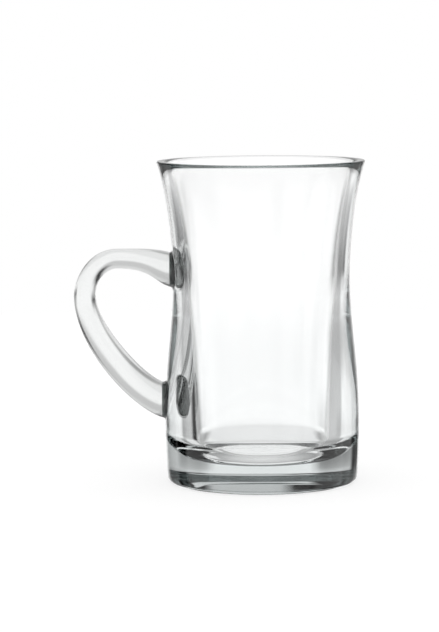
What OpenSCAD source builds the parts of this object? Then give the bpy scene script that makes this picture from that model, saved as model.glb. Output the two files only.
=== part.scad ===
// Thick pressed glass mug with a flared waist, a heavy base and a loop handle at -X.
// Millimetres. The origin is the centre of the ring that the mug stands on, and +Z is up.

/* [Rim and height] */

// Outer diameter across the lip
rim_d = 80; // [60:0.5:110]
// Height from the table to the top of the lip
mug_h = 124; // [100:1:170]
// Thickness of the lip
lip_t = 4.14; // [2.4:0.02:7]
// Radius of the lip's outer edge
lip_out_r = 0.5; // [0.3:0.05:1.1]
// Radius of the lip's inner edge
lip_in_r = 2.2; // [0.8:0.05:2.4]

/* [Body] */

// Outer diameter at the narrow waist
waist_d = 68; // [54:0.5:90]
// Height of the waist above the table
waist_z = 80.2; // [66:0.2:96]
// Outer diameter of the straight hip
hip_d = 75; // [60:0.5:100]
// Height at which the hip ends and the side starts to narrow
hip_z = 20.4; // [12:0.2:26]
// Width of the rounded bottom corner
foot_w = 3; // [1.6:0.1:4]
// Height of the rounded bottom corner
foot_h = 2; // [0.8:0.1:4]
// How far the side draws in from the hip down to the bottom corner
foot_in = 0.8; // [0.1:0.05:1.5]
// Width of the flat ring that touches the table
ring_w = 16; // [2:0.5:20]
// Depth of the shallow hollow inside that ring
punt_h = 0.3; // [0.1:0.1:2]

/* [Cavity] */

// Thickness of the glass under the edge of the cavity's floor
floor_t = 9.4; // [5:0.1:15]
// Rise of the middle of the floor above its edge
floor_rise = 0.7; // [0:0.1:2]
// Thickness of the wall at the waist
waist_wall = 5.2; // [3:0.1:9]
// Thickness of the wall at the bottom of the cavity
hip_wall = 11.6; // [8:0.1:14]
// Width of the rounding between floor and wall
floor_corner_w = 10.3; // [6:0.1:13]
// Height of the rounding between floor and wall
floor_corner_h = 10.3; // [6:0.1:13]

/* [Handle] */

// How far the handle reaches out from its upper end face
handle_reach = 37.1; // [28:0.1:50]
// Height of the middle of the upper seat
upper_seat_z = 82.2; // [74:0.2:96]
// Height of the middle of the lower seat
lower_seat_z = 31.7; // [22:0.2:40]
// Height of the handle's section at the upper seat
upper_seat_h = 13.3; // [9:0.1:17]
// Height of the handle's section at the lower seat
lower_seat_h = 13.7; // [9:0.1:17]
// Rise of the outer edge above the top of the upper seat
top_rise = 1.4; // [0.4:0.1:4]
// Thickness of the handle at its highest point
top_t = 7.5; // [5:0.1:10]
// Drop from the middle of the upper seat to the outermost point
side_drop = 9.9; // [5:0.1:16]
// Thickness of the handle at its outermost point
grip_t = 8.34; // [5:0.02:12]
// Width of the handle, across the loop, where it is held
grip_w = 12.4; // [8:0.1:18]
// Width of the handle at both seats
seat_w = 14.6; // [9:0.1:20]

/* [Welds] */

// Thickness of the pad of glass between each seat and the wall
pad_t = 1.2; // [0.6:0.1:3]
// How far the upper pad spreads up and down beyond the handle
upper_spread = 2.3; // [0.5:0.1:4]
// How far the lower pad spreads up and down beyond the handle
lower_spread = 1.3; // [0.5:0.1:4]

/* [Hidden] */

turn_facets = 96;

// Hair gap that keeps the flat facets of a pad's back out of the round wall
weld_gap = 0.01;

// Angles where the lip's round meets the outer and the inner side of the wall, and the foot's the side
lip_out_angle = 19;
lip_in_angle = 26;
foot_angle = 4.7;

// Steps along each curve
lip_out_steps = 4;
lip_in_steps = 5;
upper_steps = 9;
lower_steps = 9;
foot_side_steps = 4;
foot_steps = 5;
punt_steps = 4;
inner_steps = 8;
corner_steps = 8;
floor_steps = 3;

// Reach of each curve's two middle points, as shares of the curve's own height
upper_shares = [0.334, 0.122];
lower_shares = [0.339, 0.479];
foot_shares = [0.18, 0.21];
inner_shares = [0.15, 0.40];

rim_r = rim_d / 2;
waist_r = waist_d / 2;
hip_r = hip_d / 2;
lip_out_c = [rim_r - lip_out_r, mug_h - lip_out_r];
lip_in_c = [rim_r - lip_t + lip_in_r, mug_h - lip_in_r];
foot_c = [hip_r - foot_in - foot_w, foot_h];
ring_r = foot_c[0] - ring_w;

// Cavity: the wall leans straight out from the floor's rounding up to the waist
cavity_low_r = hip_r - hip_wall;
cavity_waist_r = waist_r - waist_wall;
corner_c = [cavity_low_r - floor_corner_w, floor_t + floor_corner_h];
draft = (cavity_waist_r - cavity_low_r) / (waist_z - corner_c[1]);
corner_start = atan(draft * floor_corner_h / floor_corner_w);

function bezier(p, t) =
    pow(1 - t, 3) * p[0]
    + 3 * pow(1 - t, 2) * t * p[1]
    + 3 * (1 - t) * t * t * p[2]
    + pow(t, 3) * p[3];

function polar(c, r, a) = c + r * [cos(a), sin(a)];

function arc(c, r, a0, a1, steps) = [for (k = [0 : steps]) polar(c, r, a0 + (a1 - a0) * k / steps)];

// Arc of an oval of half width w and half height h
function oval(c, w, h, a0, a1, steps) = [for (p = arc([0, 0], 1, a0, a1, steps)) c + [w * p[0], h * p[1]]];

// The points of a curve without its first one
function curve(p, steps) = [for (k = [1 : steps]) bezier(p, k / steps)];

// Outer side, from the foot's round up to the lip's round
foot_round = oval(foot_c, foot_w, foot_h, -90, -foot_angle, foot_steps);
foot_top = foot_round[foot_steps];
foot_lean = tan(foot_angle) * foot_w / foot_h;
hip_p = [hip_r, hip_z];
waist_p = [waist_r, waist_z];
lip_out = polar(lip_out_c, lip_out_r, -lip_out_angle);

foot_span = hip_p[1] - foot_top[1];
lower_span = waist_p[1] - hip_p[1];
upper_span = lip_out[1] - waist_p[1];

foot_curve = [
    foot_top,
    foot_top + foot_shares[1] * foot_span * [foot_lean, 1],
    hip_p - [0, foot_shares[0] * foot_span],
    hip_p
];
lower_curve = [
    hip_p,
    hip_p + [0, lower_shares[1] * lower_span],
    waist_p - [0, lower_shares[0] * lower_span],
    waist_p
];
upper_curve = [
    waist_p,
    waist_p + [0, upper_shares[1] * upper_span],
    lip_out - upper_shares[0] * upper_span * [tan(lip_out_angle), 1],
    lip_out
];

side_points = concat(
    [foot_top],
    curve(foot_curve, foot_side_steps),
    curve(lower_curve, lower_steps),
    curve(upper_curve, upper_steps)
);

// Inner side, from the lip's round down to the floor
lip_in = polar(lip_in_c, lip_in_r, 180 - lip_in_angle);
cavity_p = [cavity_waist_r, waist_z];
inner_span = lip_in[1] - waist_z;
inner_curve = [
    lip_in,
    lip_in - inner_shares[0] * inner_span * [tan(lip_in_angle), 1],
    cavity_p + inner_shares[1] * inner_span * [draft, 1],
    cavity_p
];

function punt(k) = let (r = ring_r * (1 - k / punt_steps)) [r, punt_h * (1 - pow(r / ring_r, 2))];

function tail(list) = [for (k = [1 : len(list) - 1]) list[k]];

side_tail = tail(side_points);
lip_tail = tail(arc(lip_out_c, lip_out_r, -lip_out_angle, 90, lip_out_steps));

outer_outline = concat(
    foot_round,
    side_tail,
    lip_tail,
    arc(lip_in_c, lip_in_r, 90, 180 - lip_in_angle, lip_in_steps)
);

// Point of the floor at a share of its radius
function dish(s) = [s * corner_c[0], floor_t + floor_rise * (1 - s * s)];

inner_outline = concat(
    curve(inner_curve, inner_steps),
    oval(corner_c, floor_corner_w, floor_corner_h, -corner_start, -90, corner_steps),
    [for (k = [1 : floor_steps]) dish(1 - k / floor_steps)]
);

punt_outline = concat(
    [for (k = [punt_steps : -1 : 1]) punt(k)],
    [[ring_r, 0]]
);

// Outer radius of the side at a height
side_table = [for (p = side_points) [p[1], p[0]]];
function side_r(z) = lookup(z, side_table);

// Handle: an outer and an inner edge in the XZ plane, each of three curves, with a section between them
upper_face_x = -(side_r(upper_seat_z) + pad_t);
lower_face_x = -(side_r(lower_seat_z) + pad_t);
side_x = upper_face_x - handle_reach;
side_z = upper_seat_z - side_drop;
top_z = upper_seat_z + upper_seat_h / 2 + top_rise;
top_reach_share = 0.552;
top_x = upper_face_x - top_reach_share * handle_reach;

// Reach of the middle points: seat x and z, top, top, side, side, seat x and z, as shares of each span
outer_edge_shares = [0.298, 1.205, 0.365, 0.636, 0.398, 0.43, 0.341, 0.074];
inner_edge_shares = [0.314, 0.3, 0.668, 0.3, 0.724, 0.302, 0.333, 0.105];

// Corner power of the handle's section, the points round it, and the steps along each of the three curves
section_power = 2.5;
section_points = 22;
edge_steps = [6, 9, 14];

// Share of the loop, at each end, over which its width eases out to the seat's
seat_width_share = 0.22;

function edge(seat_a, top, side, seat_b, s) =
    let (
        u = top - seat_a,
        v = side - top,
        w = seat_b - side
    )
    [
        [seat_a, seat_a + [s[0] * u[0], s[1] * u[1]], top - [s[2] * u[0], 0], top],
        [top, top + [s[3] * v[0], 0], side - [0, s[4] * v[1]], side],
        [side, side + [0, s[5] * w[1]], seat_b - [s[6] * w[0], s[7] * w[1]], seat_b]
    ];

outer_edge = edge(
    [upper_face_x, upper_seat_z + upper_seat_h / 2],
    [top_x, top_z],
    [side_x, side_z],
    [lower_face_x, lower_seat_z - lower_seat_h / 2],
    outer_edge_shares
);
inner_edge = edge(
    [upper_face_x, upper_seat_z - upper_seat_h / 2],
    [top_x, top_z - top_t],
    [side_x + grip_t, side_z],
    [lower_face_x, lower_seat_z + lower_seat_h / 2],
    inner_edge_shares
);

stations = concat(
    [[0, 0]],
    [for (i = [0 : 2]) for (k = [1 : edge_steps[i]]) [i, k / edge_steps[i]]]
);

function signed_power(v, n) = sign(v) * pow(abs(v), n);

// Unit section: [along the section's height, across the handle]
unit_section = [
    for (k = [0 : section_points - 1])
        let (a = 360 * k / section_points)
        [signed_power(cos(a), 2 / section_power), signed_power(sin(a), 2 / section_power)]
];

function ease(t) = t * t * (3 - 2 * t);

// Width across the loop at a share of the way along it
function loop_w(t) =
    let (d = min(t, 1 - t) / seat_width_share)
    d < 1 ? seat_w + (grip_w - seat_w) * ease(d) : grip_w;

function handle_ring(k) =
    let (
        i = stations[k][0],
        t = stations[k][1],
        a = bezier(outer_edge[i], t),
        b = bezier(inner_edge[i], t),
        c = (a + b) / 2,
        h = (a - b) / 2,
        w = loop_w(k / (len(stations) - 1)) / 2
    )
    [for (q = unit_section) [c[0] + h[0] * q[0], w * q[1], c[1] + h[1] * q[0]]];

// Closed skin over rings of points, with a fan at each end
module skin(rings) {
    n = len(rings[0]);
    last = len(rings) - 1;
    points = [for (ring = rings) for (p = ring) p];
    sides = [
        for (i = [0 : last - 1])
            for (j = [0 : n - 1])
                let (j2 = (j + 1) % n)
                each [
                    [i * n + j, (i + 1) * n + j2, i * n + j2],
                    [i * n + j, (i + 1) * n + j, (i + 1) * n + j2]
                ]
    ];
    start_cap = [for (j = [1 : n - 2]) [0, j, j + 1]];
    end_cap = [for (j = [1 : n - 2]) [last * n, last * n + j + 1, last * n + j]];
    polyhedron(points = points, faces = concat(sides, start_cap, end_cap));
}

// Pad between a seat and the wall: its edge sweeps out in a quarter round from the handle to the wall.
// reach_share runs from 0 at the handle's end to 1 at the wall.
// size_share runs from 0 in the middle of the pad to 1 at its edge.
pad_steps = 6;
cap_steps = 6;

function pad_ring(face_x, seat_z, seat_h, spread, reach_share, size_share) =
    let (grow = spread * (1 - sqrt(1 - reach_share * reach_share)))
    [
        for (q = unit_section)
            let (
                y = (seat_w / 2 + grow) * size_share * q[1],
                z = seat_z + (seat_h / 2 + grow) * size_share * q[0],
                wall_x = -sqrt(pow(side_r(z) + weld_gap, 2) - y * y)
            )
            [face_x + (wall_x - face_x) * reach_share, y, z]
    ];

module pad(face_x, seat_z, seat_h, spread) {
    against_wall = [for (k = [1 : cap_steps]) pad_ring(face_x, seat_z, seat_h, spread, 1, k / cap_steps)];
    edge_rings = [
        for (k = [pad_steps - 1 : -1 : 0]) pad_ring(face_x, seat_z, seat_h, spread, k / pad_steps, 1)
    ];
    skin(concat(against_wall, edge_rings));
}

module body() {
    color([0.72, 0.86, 0.84])
        rotate_extrude($fn = turn_facets)
            polygon(concat(punt_outline, outer_outline, inner_outline));
}

module handle() {
    color([0.55, 0.74, 0.86])
        skin([for (k = [0 : len(stations) - 1]) handle_ring(k)]);
}

module upper_weld() {
    color([0.95, 0.62, 0.36])
        pad(upper_face_x, upper_seat_z, upper_seat_h, upper_spread);
}

module lower_weld() {
    color([0.90, 0.46, 0.46])
        pad(lower_face_x, lower_seat_z, lower_seat_h, lower_spread);
}

body();
handle();
upper_weld();
lower_weld();
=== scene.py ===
"""Looks of a clear pressed-glass mug: body, loop handle and two weld pads, and the pale studio round it."""

import logging
import math
from collections.abc import Sequence
from dataclasses import dataclass, field
from enum import Enum

import bmesh
import bpy
from mathutils import Euler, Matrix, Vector

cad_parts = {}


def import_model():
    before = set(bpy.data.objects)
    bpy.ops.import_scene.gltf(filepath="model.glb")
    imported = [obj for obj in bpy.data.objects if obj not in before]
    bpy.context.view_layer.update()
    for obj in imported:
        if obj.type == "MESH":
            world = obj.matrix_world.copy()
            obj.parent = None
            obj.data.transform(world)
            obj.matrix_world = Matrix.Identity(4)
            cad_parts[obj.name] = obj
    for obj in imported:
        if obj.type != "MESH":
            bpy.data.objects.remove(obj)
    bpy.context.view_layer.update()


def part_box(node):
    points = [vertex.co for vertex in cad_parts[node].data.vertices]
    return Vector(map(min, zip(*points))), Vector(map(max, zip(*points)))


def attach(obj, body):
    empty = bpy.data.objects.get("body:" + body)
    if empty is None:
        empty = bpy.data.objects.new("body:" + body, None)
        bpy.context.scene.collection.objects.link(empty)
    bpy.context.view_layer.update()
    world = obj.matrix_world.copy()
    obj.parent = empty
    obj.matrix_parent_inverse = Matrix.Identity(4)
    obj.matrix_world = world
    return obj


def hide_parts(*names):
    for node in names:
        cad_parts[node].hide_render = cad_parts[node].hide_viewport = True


MM = 0.001
MERGE_GAP = 0.0001 * MM
SHARP_DEGREES = 40.0
LOG = logging.getLogger("glass_mug")

Ring = list[Vector]
Value = bpy.types.NodeSocket | float
Colour = tuple[float, float, float, float]

# A grey absorption that darkens the handle and the pads: painted shade, since they are of the body's clear
# glass
PAINTED_SHADE_GREY: Colour = (0.815, 0.825, 0.822, 1.0)


class Node(Enum):
    """The frame's nodes that the glass pieces stand for."""

    BODY = "body"
    HANDLE = "handle"
    UPPER_WELD = "upper_weld"
    LOWER_WELD = "lower_weld"


class Seat(Enum):
    """The two places where the handle meets the wall."""

    UPPER = "upper"
    LOWER = "lower"


def bezier(points: Sequence[Vector], t: float) -> Vector:
    """Finds a point on a cubic curve.

    Args:
        points: The curve's two ends and, between them, its two middle points.
        t: How far along the curve, from 0 to 1.

    Returns:
        The point.
    """
    a, b, c, d = points
    s = 1 - t
    return a * s**3 + b * (3 * s * s * t) + c * (3 * s * t * t) + d * t**3


def curve(points: Sequence[Vector], steps: int) -> Ring:
    """Samples a cubic curve without its first point.

    Args:
        points: The curve's two ends and its two middle points.
        steps: How many points to return.

    Returns:
        The points, in order.
    """
    return [bezier(points, k / steps) for k in range(1, steps + 1)]


def on_round(centre: Vector, size: Vector | float, angle: float) -> Vector:
    """Finds a point of a circle or an ellipse in the plane of an outline.

    Args:
        centre: The centre, as radius and height.
        size: The circle's radius, or the ellipse's reach outwards and upwards.
        angle: The point's angle, in degrees from the outward direction.

    Returns:
        The point.
    """
    turn = math.radians(angle)
    return centre + size * Vector((math.cos(turn), math.sin(turn)))


def arc(centre: Vector, size: Vector | float, start: float, end: float, steps: int) -> Ring:
    """Samples a stretch of a circle or an ellipse, both ends included.

    Args:
        centre: The centre, as radius and height.
        size: The circle's radius, or the ellipse's reach outwards and upwards.
        start: The angle of the first point, in degrees from the outward direction.
        end: The angle of the last point.
        steps: How many stretches the arc is cut into.

    Returns:
        The points, in order.
    """
    return [on_round(centre, size, start + (end - start) * k / steps) for k in range(steps + 1)]


def ease(t: float) -> float:
    """Blends smoothly from 0 to 1."""
    return t * t * (3 - 2 * t)


def finish_mesh(bm: bmesh.types.BMesh, name: str) -> bpy.types.Object:
    """Turns a closed bmesh into a smooth-shaded object at the origin, with its sharp edges kept.

    Args:
        bm: The mesh, which is freed.
        name: The new object's name.

    Returns:
        The object, linked to the scene.
    """
    bmesh.ops.remove_doubles(bm, verts=bm.verts, dist=MERGE_GAP)
    bmesh.ops.recalc_face_normals(bm, faces=bm.faces)
    for face in bm.faces:
        face.smooth = True
    for edge in bm.edges:
        edge.smooth = edge.calc_face_angle(0.0) < math.radians(SHARP_DEGREES)
    mesh = bpy.data.meshes.new(name)
    bm.to_mesh(mesh)
    bm.free()
    piece = bpy.data.objects.new(name, mesh)
    bpy.context.scene.collection.objects.link(piece)
    return piece


def skin_over(rings: Sequence[Ring]) -> bmesh.types.BMesh:
    """Grows a closed skin from ring to ring and closes both its ends.

    Args:
        rings: Rings of as many points each, in the order of the sweep.

    Returns:
        The skin.
    """
    bm = bmesh.new()
    made = bmesh.ops.create_circle(bm, segments=len(rings[0]), radius=1.0)
    for vert, place in zip(made["verts"], rings[0]):
        vert.co = place
    edges = list(bm.edges)
    for before, after in zip(rings, rings[1:]):
        order = {tuple(vert.co): k for k, vert in enumerate(verts_along(edges, before))}
        grown = bmesh.ops.extrude_edge_only(bm, edges=edges)["geom"]
        edges = [part for part in grown if isinstance(part, bmesh.types.BMEdge)]
        for vert in (part for part in grown if isinstance(part, bmesh.types.BMVert)):
            vert.co = after[order[tuple(vert.co)]]
    bmesh.ops.holes_fill(bm, edges=[edge for edge in bm.edges if edge.is_boundary], sides=0)
    return bm


def verts_along(edges: Sequence[bmesh.types.BMEdge], ring: Ring) -> list[bmesh.types.BMVert]:
    """Puts the vertices of a ring's edges in the order of the ring's points.

    Args:
        edges: The edges of the ring.
        ring: The points where its vertices stand.

    Returns:
        The vertices, one for each point.
    """
    verts = {vert for edge in edges for vert in edge.verts}
    return [min(verts, key=lambda vert: (vert.co - place).length_squared) for place in ring]


@dataclass(frozen=True)
class ClearGlass:
    """The body's glass: clear, fire polished, with a trace of blue green in its thick parts.

    Its density is per metre, and its ripple's height is in metres.
    """

    name: str = "fire_polished_glass"
    slot: str = "clear_glass"
    roughness: float = 0.0
    ior: float = 1.5
    tint: Colour = (0.80, 0.825, 0.825, 1.0)
    density: float = 28.0
    ripple_scale: float = 45.0
    ripple_height: float = 0.01 * MM

    def material(self) -> bpy.types.Material:
        """Builds the glass, with a faint ripple from its moulding.

        Returns:
            The material.
        """
        found = bpy.data.materials.get(self.name)
        if found:
            return found
        material = bpy.data.materials.new(self.name)
        material.use_nodes = True
        nodes, links = material.node_tree.nodes, material.node_tree.links
        shader = nodes["Principled BSDF"]
        shader.inputs["Base Color"].default_value = (1.0, 1.0, 1.0, 1.0)
        shader.inputs["Roughness"].default_value = self.roughness
        shader.inputs["IOR"].default_value = self.ior
        shader.inputs["Transmission Weight"].default_value = 1.0
        place = nodes.new("ShaderNodeTexCoord")
        ripple = nodes.new("ShaderNodeTexNoise")
        ripple.inputs["Scale"].default_value = self.ripple_scale
        ripple.inputs["Detail"].default_value = 1.0
        bump = nodes.new("ShaderNodeBump")
        bump.inputs["Strength"].default_value = 1.0
        bump.inputs["Distance"].default_value = self.ripple_height
        links.new(place.outputs["Object"], ripple.inputs["Vector"])
        links.new(ripple.outputs["Fac"], bump.inputs["Height"])
        links.new(bump.outputs["Normal"], shader.inputs["Normal"])
        depth = nodes.new("ShaderNodeVolumeAbsorption")
        depth.inputs["Color"].default_value = self.tint
        depth.inputs["Density"].default_value = self.density
        links.new(depth.outputs["Volume"], nodes["Material Output"].inputs["Volume"])
        return material

    def dress(self, piece: bpy.types.Object, node: Node) -> None:
        """Gives a piece the glass, hangs it on the frame's root body and hides the frame's node that it
        replaces.

        Args:
            piece: The finished piece.
            node: The frame's node that it replaces.
        """
        piece.data.materials.append(self.material())
        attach(piece, "root")
        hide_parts(node.value)


@dataclass(frozen=True)
class HandleGlass(ClearGlass):
    """The handle's glass: polished a little softer, with a grey absorption in its depth that paints shade on
    the handle, though it is the body's glass.
    """

    name: str = "softly_polished_shaded_glass"
    roughness: float = 0.16
    tint: Colour = PAINTED_SHADE_GREY
    # Three times the body's density: the grey absorption is painted shade on the handle
    density: float = 85.0


@dataclass(frozen=True)
class WeldGlass(ClearGlass):
    """The pads' glass: a dense grey absorption paints their shade, pale across a pad and dark to a look
    along it, though they are of the body's glass.
    """

    name: str = "weld_glass_painted_shade"
    tint: Colour = PAINTED_SHADE_GREY
    # The dense grey absorption is painted shade that darkens the pads
    density: float = 800.0


@dataclass
class MugBody:
    """The turned body: wall, rounded lip, cavity and heavy base.

    Lengths are in metres and angles in degrees.
    """

    rim_r: float
    height: float
    lip_t: float = 4.14 * MM
    lip_out_r: float = 0.5 * MM
    lip_in_r: float = 2.2 * MM
    waist_r: float = 34.0 * MM
    waist_z: float = 80.2 * MM
    hip_r: float = 37.5 * MM
    hip_z: float = 20.4 * MM
    foot_w: float = 3.0 * MM
    foot_h: float = 2.0 * MM
    foot_in: float = 0.8 * MM
    ring_w: float = 16.0 * MM
    punt_h: float = 0.3 * MM
    floor_t: float = 9.4 * MM
    floor_rise: float = 0.7 * MM
    waist_wall: float = 5.2 * MM
    hip_wall: float = 11.6 * MM
    floor_corner_w: float = 10.3 * MM
    floor_corner_h: float = 10.3 * MM
    lip_out_angle: float = 19.0
    lip_in_angle: float = 26.0
    foot_angle: float = 4.7
    upper_shares: tuple[float, float] = (0.334, 0.122)
    lower_shares: tuple[float, float] = (0.339, 0.479)
    foot_shares: tuple[float, float] = (0.18, 0.21)
    inner_shares: tuple[float, float] = (0.15, 0.40)
    turn_steps: int = 192
    punt_steps: int = 16
    ring_steps: int = 3
    foot_round_steps: int = 16
    foot_side_steps: int = 10
    side_steps: int = 32
    lip_out_steps: int = 12
    lip_in_steps: int = 20
    mouth_steps: int = 28
    wall_steps: int = 12
    corner_steps: int = 24
    floor_steps: int = 12
    side: Ring = field(init=False)

    def __post_init__(self) -> None:
        """Works out the outer side, which the handle's seats follow."""
        self.side = self.outer_side()

    @property
    def lip_centres(self) -> tuple[Vector, Vector]:
        """Finds the centres of the lip's two rounds.

        Returns:
            The outer round's centre and the inner one's, as radius and height.
        """
        outer = Vector((self.rim_r - self.lip_out_r, self.height - self.lip_out_r))
        inner = Vector((self.rim_r - self.lip_t + self.lip_in_r, self.height - self.lip_in_r))
        return outer, inner

    @property
    def foot_centre(self) -> Vector:
        """Gives the centre of the bottom corner's round, as radius and height."""
        return Vector((self.hip_r - self.foot_in - self.foot_w, self.foot_h))

    def foot_round(self) -> Ring:
        """Draws the bottom corner's round from the underside up to the side.

        Returns:
            Its points, as radius and height.
        """
        size = Vector((self.foot_w, self.foot_h))
        return arc(self.foot_centre, size, -90, -self.foot_angle, self.foot_round_steps)

    def outer_side(self) -> Ring:
        """Draws the side from the bottom corner's round up to the lip's round.

        Returns:
            Its points, as radius and height.
        """
        foot = self.foot_round()[-1]
        hip = Vector((self.hip_r, self.hip_z))
        waist = Vector((self.waist_r, self.waist_z))
        lip = on_round(self.lip_centres[0], self.lip_out_r, -self.lip_out_angle)
        foot_lean = Vector((math.tan(math.radians(self.foot_angle)) * self.foot_w / self.foot_h, 1))
        lip_lean = Vector((math.tan(math.radians(self.lip_out_angle)), 1))
        up = Vector((0, 1))
        foot_span, lower_span, upper_span = hip.y - foot.y, waist.y - hip.y, lip.y - waist.y
        low = [
            foot,
            foot + self.foot_shares[1] * foot_span * foot_lean,
            hip - self.foot_shares[0] * foot_span * up,
            hip,
        ]
        middle = [
            hip,
            hip + self.lower_shares[1] * lower_span * up,
            waist - self.lower_shares[0] * lower_span * up,
            waist,
        ]
        high = [
            waist,
            waist + self.upper_shares[1] * upper_span * up,
            lip - self.upper_shares[0] * upper_span * lip_lean,
            lip,
        ]
        rise = curve(middle, self.side_steps) + curve(high, self.side_steps)
        return [foot] + curve(low, self.foot_side_steps) + rise

    def side_r(self, z: float) -> float:
        """Gives the outer radius at a height.

        Args:
            z: The height.

        Returns:
            The radius, between the outline's points.
        """
        if z <= self.side[0].y:
            return self.side[0].x
        for low, high in zip(self.side, self.side[1:]):
            if z <= high.y:
                return low.x + (high.x - low.x) * (z - low.y) / (high.y - low.y)
        return self.side[-1].x

    def cavity_side(self) -> Ring:
        """Draws the inner side from the lip's round down to the middle of the floor.

        Returns:
            Its points, as radius and height.
        """
        low_r = self.hip_r - self.hip_wall
        waist = Vector((self.waist_r - self.waist_wall, self.waist_z))
        corner = Vector((low_r - self.floor_corner_w, self.floor_t + self.floor_corner_h))
        draft = (waist.x - low_r) / (waist.y - corner.y)
        lip = on_round(self.lip_centres[1], self.lip_in_r, 180 - self.lip_in_angle)
        lip_lean = Vector((math.tan(math.radians(self.lip_in_angle)), 1))
        span = lip.y - waist.y
        mouth = [
            lip,
            lip - self.inner_shares[0] * span * lip_lean,
            waist + self.inner_shares[1] * span * Vector((draft, 1)),
            waist,
        ]
        round_size = Vector((self.floor_corner_w, self.floor_corner_h))
        start = math.degrees(math.atan(draft * round_size.y / round_size.x))
        rounding = arc(corner, round_size, -start, -90, self.corner_steps)
        straight = [waist.lerp(rounding[0], k / self.wall_steps) for k in range(1, self.wall_steps)]
        shares = [1 - k / self.floor_steps for k in range(1, self.floor_steps + 1)]
        floor = [Vector((corner.x * s, self.floor_t + self.floor_rise * (1 - s * s))) for s in shares]
        return curve(mouth, self.mouth_steps) + straight + rounding + floor

    def outline(self) -> Ring:
        """Draws the whole section, from the middle of the underside round to the middle of the floor.

        Returns:
            Its points, as radius and height.
        """
        ring_r = self.foot_centre.x - self.ring_w
        shares = [k / self.punt_steps for k in range(self.punt_steps + 1)]
        punt = [Vector((ring_r * s, self.punt_h * (1 - s * s))) for s in shares]
        left = [1 - k / self.ring_steps for k in range(1, self.ring_steps)]
        ring = [Vector((self.foot_centre.x - self.ring_w * share, 0)) for share in left]
        foot = self.foot_round()
        outer, inner = self.lip_centres
        lip = arc(outer, self.lip_out_r, -self.lip_out_angle, 90, self.lip_out_steps)
        lip += arc(inner, self.lip_in_r, 90, 180 - self.lip_in_angle, self.lip_in_steps)
        return punt + ring + foot + self.side[1:] + lip[1:] + self.cavity_side()

    def build(self) -> bpy.types.Object:
        """Turns the outline about the mug's axis.

        Returns:
            The body.
        """
        bm = bmesh.new()
        verts = [bm.verts.new((point.x, 0, point.y)) for point in self.outline()]
        edges = [bm.edges.new(pair) for pair in zip(verts, verts[1:])]
        bmesh.ops.spin(
            bm,
            geom=verts + edges,
            cent=(0, 0, 0),
            axis=(0, 0, 1),
            angle=math.tau,
            steps=self.turn_steps,
            use_merge=True,
        )
        return finish_mesh(bm, "glass_body")

    def make(self) -> list[bpy.types.Object]:
        """Builds the body and dresses it in its glass.

        Returns:
            The one piece.
        """
        piece = self.build()
        ClearGlass().dress(piece, Node.BODY)
        return [piece]


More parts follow.
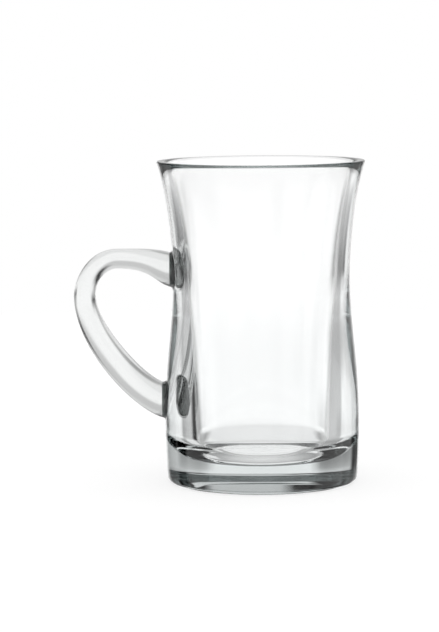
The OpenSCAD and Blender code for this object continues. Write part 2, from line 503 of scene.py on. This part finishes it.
@dataclass
class LoopHandle:
    """The loop at -X and the pads that weld it to the wall. Lengths are in metres."""

    body: MugBody
    reach: float = 37.1 * MM
    upper_seat_z: float = 82.2 * MM
    lower_seat_z: float = 31.7 * MM
    upper_seat_h: float = 13.3 * MM
    lower_seat_h: float = 13.7 * MM
    top_rise: float = 1.4 * MM
    top_t: float = 7.5 * MM
    side_drop: float = 9.9 * MM
    grip_t: float = 8.34 * MM
    grip_w: float = 12.4 * MM
    seat_w: float = 14.6 * MM
    pad_t: float = 1.2 * MM
    upper_spread: float = 2.3 * MM
    lower_spread: float = 1.3 * MM
    sink: float = 0.05 * MM
    top_reach_share: float = 0.552
    seat_width_share: float = 0.22
    section_power: float = 2.5
    section_points: int = 64
    tuck_share: float = 0.995
    pad_steps: int = 12
    edge_steps: tuple[int, int, int] = (24, 36, 56)
    outer_edge_shares: tuple[float, ...] = (0.298, 1.205, 0.365, 0.636, 0.398, 0.43, 0.341, 0.074)
    inner_edge_shares: tuple[float, ...] = (0.314, 0.3, 0.668, 0.3, 0.724, 0.302, 0.333, 0.105)

    def face_x(self, seat: Seat) -> float:
        """Gives the place of the handle's end face at a seat."""
        z = self.upper_seat_z if seat is Seat.UPPER else self.lower_seat_z
        return -(self.body.side_r(z) + self.pad_t)

    def unit_section(self) -> list[tuple[float, float]]:
        """Draws the rounded section, one unit high and wide each way.

        Returns:
            Pairs of height and width.
        """
        def corner(v: float) -> float:
            """Pulls a circle's coordinate out towards a square's."""
            return math.copysign(abs(v) ** (2 / self.section_power), v)

        angles = [math.tau * k / self.section_points for k in range(self.section_points)]
        return [(corner(math.cos(a)), corner(math.sin(a))) for a in angles]

    def edge(self, side: float, shares: Sequence[float]) -> list[list[Vector]]:
        """Draws one edge of the loop as three cubic curves.

        Args:
            side: 1 for the outer edge, -1 for the inner edge.
            shares: How far the curves' middle points reach along each span.

        Returns:
            The four points of each curve, as x and z.
        """
        upper_x, lower_x = self.face_x(Seat.UPPER), self.face_x(Seat.LOWER)
        inward = 1 if side < 0 else 0
        seat_a = Vector((upper_x, self.upper_seat_z + side * self.upper_seat_h / 2))
        top_z = self.upper_seat_z + self.upper_seat_h / 2 + self.top_rise
        top = Vector((upper_x - self.top_reach_share * self.reach, top_z - inward * self.top_t))
        out_x = upper_x - self.reach + inward * self.grip_t
        out = Vector((out_x, self.upper_seat_z - self.side_drop))
        seat_b = Vector((lower_x, self.lower_seat_z - side * self.lower_seat_h / 2))
        u, v, w = top - seat_a, out - top, seat_b - out
        s = shares
        return [
            [seat_a, seat_a + Vector((s[0] * u.x, s[1] * u.y)), top - Vector((s[2] * u.x, 0)), top],
            [top, top + Vector((s[3] * v.x, 0)), out - Vector((0, s[4] * v.y)), out],
            [out, out + Vector((0, s[5] * w.y)), seat_b - Vector((s[6] * w.x, s[7] * w.y)), seat_b],
        ]

    def width(self, t: float) -> float:
        """Gives the handle's width at a share of the way along the loop."""
        d = min(t, 1 - t) / self.seat_width_share
        return self.seat_w + (self.grip_w - self.seat_w) * ease(min(d, 1.0))

    def ring(self, outer: Vector, inner: Vector, width: float) -> Ring:
        """Places a section between two points of the loop's edges.

        Args:
            outer: The point on the outer edge, as x and z.
            inner: The point on the inner edge.
            width: The section's width along Y.

        Returns:
            The section's points.
        """
        middle, half = (outer + inner) / 2, (outer - inner) / 2
        return [
            Vector((middle.x + half.x * h, w * width / 2, middle.y + half.y * h))
            for h, w in self.unit_section()
        ]

    def build(self) -> bpy.types.Object:
        """Sweeps the section round the loop, each end a hair inside its pad.

        Returns:
            The handle.
        """
        outer = self.edge(1, self.outer_edge_shares)
        inner = self.edge(-1, self.inner_edge_shares)
        marks = [(0, 0.0)]
        for part, steps in enumerate(self.edge_steps):
            marks += [(part, k / steps) for k in range(1, steps + 1)]
        rings = []
        for place, (part, t) in enumerate(marks):
            along = place / (len(marks) - 1)
            rings.append(self.ring(bezier(outer[part], t), bezier(inner[part], t), self.width(along)))
        rings.insert(0, self.tucked(rings[0]))
        rings.append(self.tucked(rings[-1]))
        return finish_mesh(skin_over(rings), "glass_handle")

    def tucked(self, ring: Ring) -> Ring:
        """Sinks an end ring into its pad, a little smaller than the pad is there.

        Args:
            ring: The handle's end ring.

        Returns:
            The sunk ring.
        """
        middle = sum(ring, Vector()) / len(ring)
        inwards = Vector((self.sink, 0, 0))
        return [middle + (point - middle) * self.tuck_share + inwards for point in ring]

    def pad_ring(self, seat: Seat, reach: float, size: float) -> Ring:
        """Draws one ring of a weld pad.

        Args:
            seat: The seat that the pad belongs to.
            reach: 0 at the handle's end, 1 at the wall.
            size: 1 at the pad's edge, less towards its middle.

        Returns:
            The ring's points.
        """
        upper = seat is Seat.UPPER
        seat_z = self.upper_seat_z if upper else self.lower_seat_z
        seat_h = self.upper_seat_h if upper else self.lower_seat_h
        spread = self.upper_spread if upper else self.lower_spread
        grow = spread * (1 - math.sqrt(1 - reach * reach))
        face_x = self.face_x(seat)
        points = []
        for h, w in self.unit_section():
            y = (self.seat_w / 2 + grow) * size * w
            z = seat_z + (seat_h / 2 + grow) * size * h
            wall_x = -math.sqrt((self.body.side_r(z) - self.sink) ** 2 - y * y)
            points.append(Vector((face_x + (wall_x - face_x) * reach, y, z)))
        return points

    def build_pad(self, seat: Seat) -> bpy.types.Object:
        """Builds the pad of squeezed glass at a seat, its back a hair inside the wall.

        Args:
            seat: The seat.

        Returns:
            The pad.
        """
        steps = self.pad_steps
        back = [self.pad_ring(seat, 1.0, k / steps) for k in range(1, steps + 1)]
        reaches = [math.sin(math.radians(90 * k / steps)) for k in range(steps - 1, -1, -1)]
        sides = [self.pad_ring(seat, reach, 1.0) for reach in reaches]
        return finish_mesh(skin_over(back + sides), f"glass_{seat.value}_weld")

    def make(self) -> list[bpy.types.Object]:
        """Builds the handle and its pads and dresses each in its glass.

        Returns:
            The handle, the upper pad and the lower pad.
        """
        pieces = [self.build()]
        HandleGlass().dress(pieces[0], Node.HANDLE)
        for seat in Seat:
            pad = self.build_pad(seat)
            WeldGlass().dress(pad, Node(f"{seat.value}_weld"))
            pieces.append(pad)
        return pieces


class NodeSheet:
    """A node tree with short calls that lay shader nodes on it."""

    def __init__(self, tree: bpy.types.NodeTree) -> None:
        """Takes a tree and empties it.

        Args:
            tree: The tree that the nodes go on.
        """
        self.tree = tree
        tree.nodes.clear()

    def add(self, kind: str, **options: object) -> bpy.types.Node:
        """Adds a node and sets its options.

        Args:
            kind: The node's type.
            options: Its settings, by name.

        Returns:
            The node.
        """
        node = self.tree.nodes.new(kind)
        for name, value in options.items():
            setattr(node, name, value)
        return node

    def feed(self, socket: bpy.types.NodeSocket, value: Value) -> None:
        """Links an output to a socket, or sets the socket to a constant.

        Args:
            socket: The input that is fed.
            value: An output, or a number.
        """
        if isinstance(value, bpy.types.NodeSocket):
            self.tree.links.new(value, socket)
        else:
            socket.default_value = value

    def math(self, operation: str, *values: Value) -> bpy.types.NodeSocket:
        """Works out a number from one, two or three others.

        Args:
            operation: The Math node's operation.
            values: Outputs or constants.

        Returns:
            The result's socket.
        """
        node = self.add("ShaderNodeMath", operation=operation)
        for socket, value in zip(node.inputs, values):
            self.feed(socket, value)
        return node.outputs[0]

    def near(self, angle: Value, middle: float, reach: float, edge: float) -> bpy.types.NodeSocket:
        """Says how near an angle is: 1 within the reach of a middle, and 0 past a soft edge.

        Args:
            angle: The angle, in radians.
            middle: The angle, in degrees, that it is set against.
            reach: How far from there the result stays 1, in degrees.
            edge: How far beyond the reach it falls to 0, in degrees.

        Returns:
            The result's socket.
        """
        apart = self.math("WRAP", self.math("SUBTRACT", angle, math.radians(middle)), math.pi, -math.pi)
        node = self.add("ShaderNodeMapRange")
        self.feed(node.inputs["Value"], self.math("ABSOLUTE", apart))
        node.inputs["From Min"].default_value = math.radians(reach + edge)
        node.inputs["From Max"].default_value = math.radians(reach)
        return node.outputs["Result"]

    def blend(self, share: Value, low: Value, high: Value) -> bpy.types.NodeSocket:
        """Mixes two numbers.

        Args:
            share: 0 for the first number, 1 for the second.
            low: The first number.
            high: The second number.

        Returns:
            The mixed number's socket.
        """
        node = self.add("ShaderNodeMix", data_type="FLOAT")
        self.feed(node.inputs["Factor"], share)
        self.feed(node.inputs["A"], low)
        self.feed(node.inputs["B"], high)
        return node.outputs["Result"]

    def bent(self) -> bpy.types.NodeSocket:
        """Says whether a ray has come through glass or off it: 1 if so, else 0."""
        path = self.add("ShaderNodeLightPath")
        return self.math("MAXIMUM", path.outputs["Is Transmission Ray"], path.outputs["Is Glossy Ray"])

    def steps(self, value: Value, stops: Sequence[tuple[float, float]]) -> bpy.types.NodeSocket:
        """Follows a row of stops, each a height in degrees and a brightness.

        Args:
            value: The height, in radians.
            stops: The stops, from the lowest up.

        Returns:
            The brightness's socket.
        """
        low, high = math.radians(stops[0][0]), math.radians(stops[-1][0])
        share = self.math("DIVIDE", self.math("SUBTRACT", value, low), high - low)
        ramp = self.add("ShaderNodeValToRGB")
        self.feed(ramp.inputs["Fac"], share)
        marks = ramp.color_ramp.elements
        while len(marks) < len(stops):
            # A new mark may start anywhere, because each is put in its place below
            marks.new(0.5)
        for mark, (degrees, brightness) in zip(marks, stops):
            mark.position = (math.radians(degrees) - low) / (high - low)
            mark.color = (brightness, brightness, brightness, 1.0)
        return ramp.outputs["Color"]


@dataclass(frozen=True)
class Screen:
    """A soft-edged white screen or dark flag that stands round the mug. Angles are in degrees.

    Attributes:
        place: Where it stands, which its node's label says.
        heading: The direction of its middle, from +Y towards +X.
        half_width: Half its width.
        low: The height of its lower edge above the horizon.
        high: The height of its upper edge.
        brightness: How bright it is, where 1 is white.
    """

    place: str
    heading: float
    half_width: float
    low: float
    high: float
    brightness: float


@dataclass(frozen=True)
class Studio:
    """A white sweep in a room of pale boards and dark gaps, and the camera of the photograph.

    Glass only shows by what it bends into view, so the room isn't even. Its bands give a brightness for
    each height in degrees, dark from a little above the horizon and paler overhead. Its screens stand before
    them. The lens and the sensor are in millimetres, other lengths in metres, and angles in degrees.
    """

    focal_length: float = 151.2
    sensor: float = 36.0
    camera_distance: float = 1017.7 * MM
    camera_height: float = 175.3 * MM
    pitch: float = 6.237
    yaw: float = 0.915
    roll: float = -0.45
    floor_r: float = 620.0 * MM
    floor_corners: int = 96
    floor_paint: Colour = (0.3, 0.3, 0.3, 1.0)
    floor_glow: float = 0.75
    bounces: int = 32
    screen_edge: float = 6.0
    bands: tuple[tuple[float, float], ...] = (
        (-90, 0.85),
        (-62, 0.7),
        (-45, 0.5),
        (-30, 0.4),
        (-17, 0.65),
        (-3, 0.8),
        (6, 0.0),
        (40, 0.0),
        (60, 0.4),
        (90, 0.4),
    )
    screens: tuple[Screen, ...] = (
        Screen("white sweep behind", 0, 23, -18, 0, 1.15),
        Screen("foot of the sweep", 0, 14, -39, -22, 1.0),
        Screen("pale top of the sweep", 8, 31, 16, 31, 0.85),
        Screen("grey strip over the sweep", 7, 14, 4, 14, 0.7),
        Screen("white board left", -92, 11, -19, 4, 0.95),
        Screen("white board behind left, low", -46, 10, -39, -24, 0.95),
        Screen("white board right", 90, 20, -22, -11, 1.2),
        Screen("white board in front right", 135, 12, -30, -6, 1.0),
        Screen("pale board in front left", -158, 33, -29, -17, 0.9),
        Screen("dark gap left", -67, 7, -19, 6, 0.0),
        Screen("dark strip behind left", -40, 14, -10, -8, 0.0),
        Screen("dark strip behind right", 35, 10, -10, -9, 0.1),
        Screen("bright corner behind left", -21, 6, -17, -15, 1.2),
        Screen("bright corner behind right", 26, 5, -17, -16, 1.2),
    )

    def place_camera(self) -> None:
        """Puts the camera where the photograph's was."""
        data = bpy.data.cameras.new("camera")
        data.lens = self.focal_length
        data.sensor_width = self.sensor
        camera = bpy.data.objects.new("camera", data)
        camera.location = (0, -self.camera_distance, self.camera_height)
        heading = Euler((math.radians(90 - self.pitch), 0, math.radians(self.yaw)), "XYZ")
        turn = heading.to_matrix() @ Euler((0, 0, math.radians(self.roll)), "XYZ").to_matrix()
        camera.rotation_euler = turn.to_euler("XYZ")
        bpy.context.scene.collection.objects.link(camera)
        bpy.context.scene.camera = camera

    def lay_floor(self) -> None:
        """Lays the pale floor that the mug stands on."""
        bm = bmesh.new()
        bmesh.ops.create_circle(bm, cap_ends=True, segments=self.floor_corners, radius=self.floor_r)
        mesh = bpy.data.meshes.new("floor")
        bm.to_mesh(mesh)
        bm.free()
        floor = bpy.data.objects.new("floor", mesh)
        bpy.context.scene.collection.objects.link(floor)
        mesh.materials.append(self.floor_material())

    def floor_material(self) -> bpy.types.Material:
        """Makes the floor: white to the eye, with the mug's soft shadow, and see-through to bent light.

        Returns:
            The material.
        """
        material = bpy.data.materials.new("pale_floor")
        material.use_nodes = True
        sheet = NodeSheet(material.node_tree)
        paint = sheet.add("ShaderNodeBsdfDiffuse")
        paint.inputs["Color"].default_value = self.floor_paint
        glow = sheet.add("ShaderNodeEmission")
        glow.inputs["Color"].default_value = (1, 1, 1, 1)
        glow.inputs["Strength"].default_value = self.floor_glow
        seen = sheet.add("ShaderNodeAddShader")
        sheet.feed(seen.inputs[0], paint.outputs[0])
        sheet.feed(seen.inputs[1], glow.outputs[0])
        mix = sheet.add("ShaderNodeMixShader")
        sheet.feed(mix.inputs[0], sheet.bent())
        sheet.feed(mix.inputs[1], seen.outputs[0])
        sheet.feed(mix.inputs[2], sheet.add("ShaderNodeBsdfTransparent").outputs[0])
        sheet.feed(sheet.add("ShaderNodeOutputMaterial").inputs["Surface"], mix.outputs[0])
        return material

    def light_world(self) -> None:
        """Lights the mug: all white to the eye, and the room's bands and screens to what the glass bends."""
        world = bpy.data.worlds.new("studio")
        bpy.context.scene.world = world
        world.use_nodes = True
        sheet = NodeSheet(world.node_tree)
        way = sheet.add("ShaderNodeSeparateXYZ")
        sheet.feed(way.inputs[0], sheet.add("ShaderNodeTexCoord").outputs["Generated"])
        height = sheet.math("ARCSINE", way.outputs["Z"])
        heading = sheet.math("ARCTAN2", way.outputs["X"], way.outputs["Y"])
        pattern = sheet.steps(height, self.bands)
        for screen in self.screens:
            across = sheet.near(heading, screen.heading, screen.half_width, self.screen_edge)
            middle, half_height = (screen.low + screen.high) / 2, (screen.high - screen.low) / 2
            up = sheet.near(height, middle, half_height, self.screen_edge)
            pattern = sheet.blend(sheet.math("MULTIPLY", across, up), pattern, screen.brightness)
            pattern.node.label = screen.place
        light = sheet.add("ShaderNodeBackground")
        light.inputs["Color"].default_value = (1, 1, 1, 1)
        sheet.feed(light.inputs["Strength"], sheet.blend(sheet.bent(), 1.0, pattern))
        sheet.feed(sheet.add("ShaderNodeOutputWorld").inputs["Surface"], light.outputs[0])

    def set_up(self) -> None:
        """Makes the camera, the floor and the light, with bounces enough for glass."""
        self.place_camera()
        self.lay_floor()
        self.light_world()
        scene = bpy.context.scene
        scene.view_settings.view_transform = "Standard"
        scene.cycles.max_bounces = self.bounces
        scene.cycles.transmission_bounces = self.bounces
        scene.cycles.glossy_bounces = self.bounces


def main() -> None:
    """Builds the mug in the frame, dresses it and sets it in the studio."""
    logging.basicConfig(level=logging.INFO)
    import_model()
    Studio().set_up()
    _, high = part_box(Node.BODY.value)
    body = MugBody(rim_r=high[0], height=high[2])
    handle = LoopHandle(body=body)
    for piece in body.make() + handle.make():
        LOG.info("%s is of %s, %d faces", piece.name, piece.active_material.name, len(piece.data.polygons))


if __name__ == "__main__":
    main()
